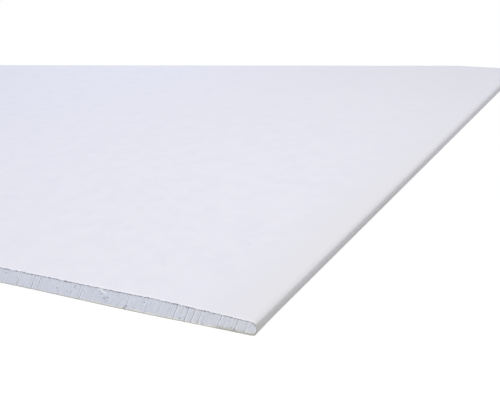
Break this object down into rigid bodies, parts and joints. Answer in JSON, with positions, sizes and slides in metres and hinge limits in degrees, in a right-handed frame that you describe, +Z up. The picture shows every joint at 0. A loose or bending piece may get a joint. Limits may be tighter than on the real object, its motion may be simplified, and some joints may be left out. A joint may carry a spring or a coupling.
{
  "type": "drywall sheet",
  "caption": "Flat gypsum board panel bound in paper, with tapered half-round bound edges and square-cut ends; lies face up and is screwed to studs as wall or ceiling lining.",
  "frame": {"origin": "on the floor under the middle of the sheet, at the centre of the bottom of its box", "axes": "+X across the sheet from one bound edge to the other, +Y along the bound edges, +Z up out of the face"},
  "size_m": [1.2, 0.6, 0.0125],
  "materials": {
    "gypsum": "matt blue-grey set gypsum, with slanting cut marks, chips and pits on the cut ends",
    "white_paper": "smooth matt white lining paper with a faint cool tint and fine fibres",
    "beige_paper": "rough matt grey-beige recycled liner paper"
  },
  "bodies": {
    "root": {"gypsum_core": "gypsum", "face_paper": "white_paper", "back_paper": "beige_paper"}
  },
  "joints": []
}
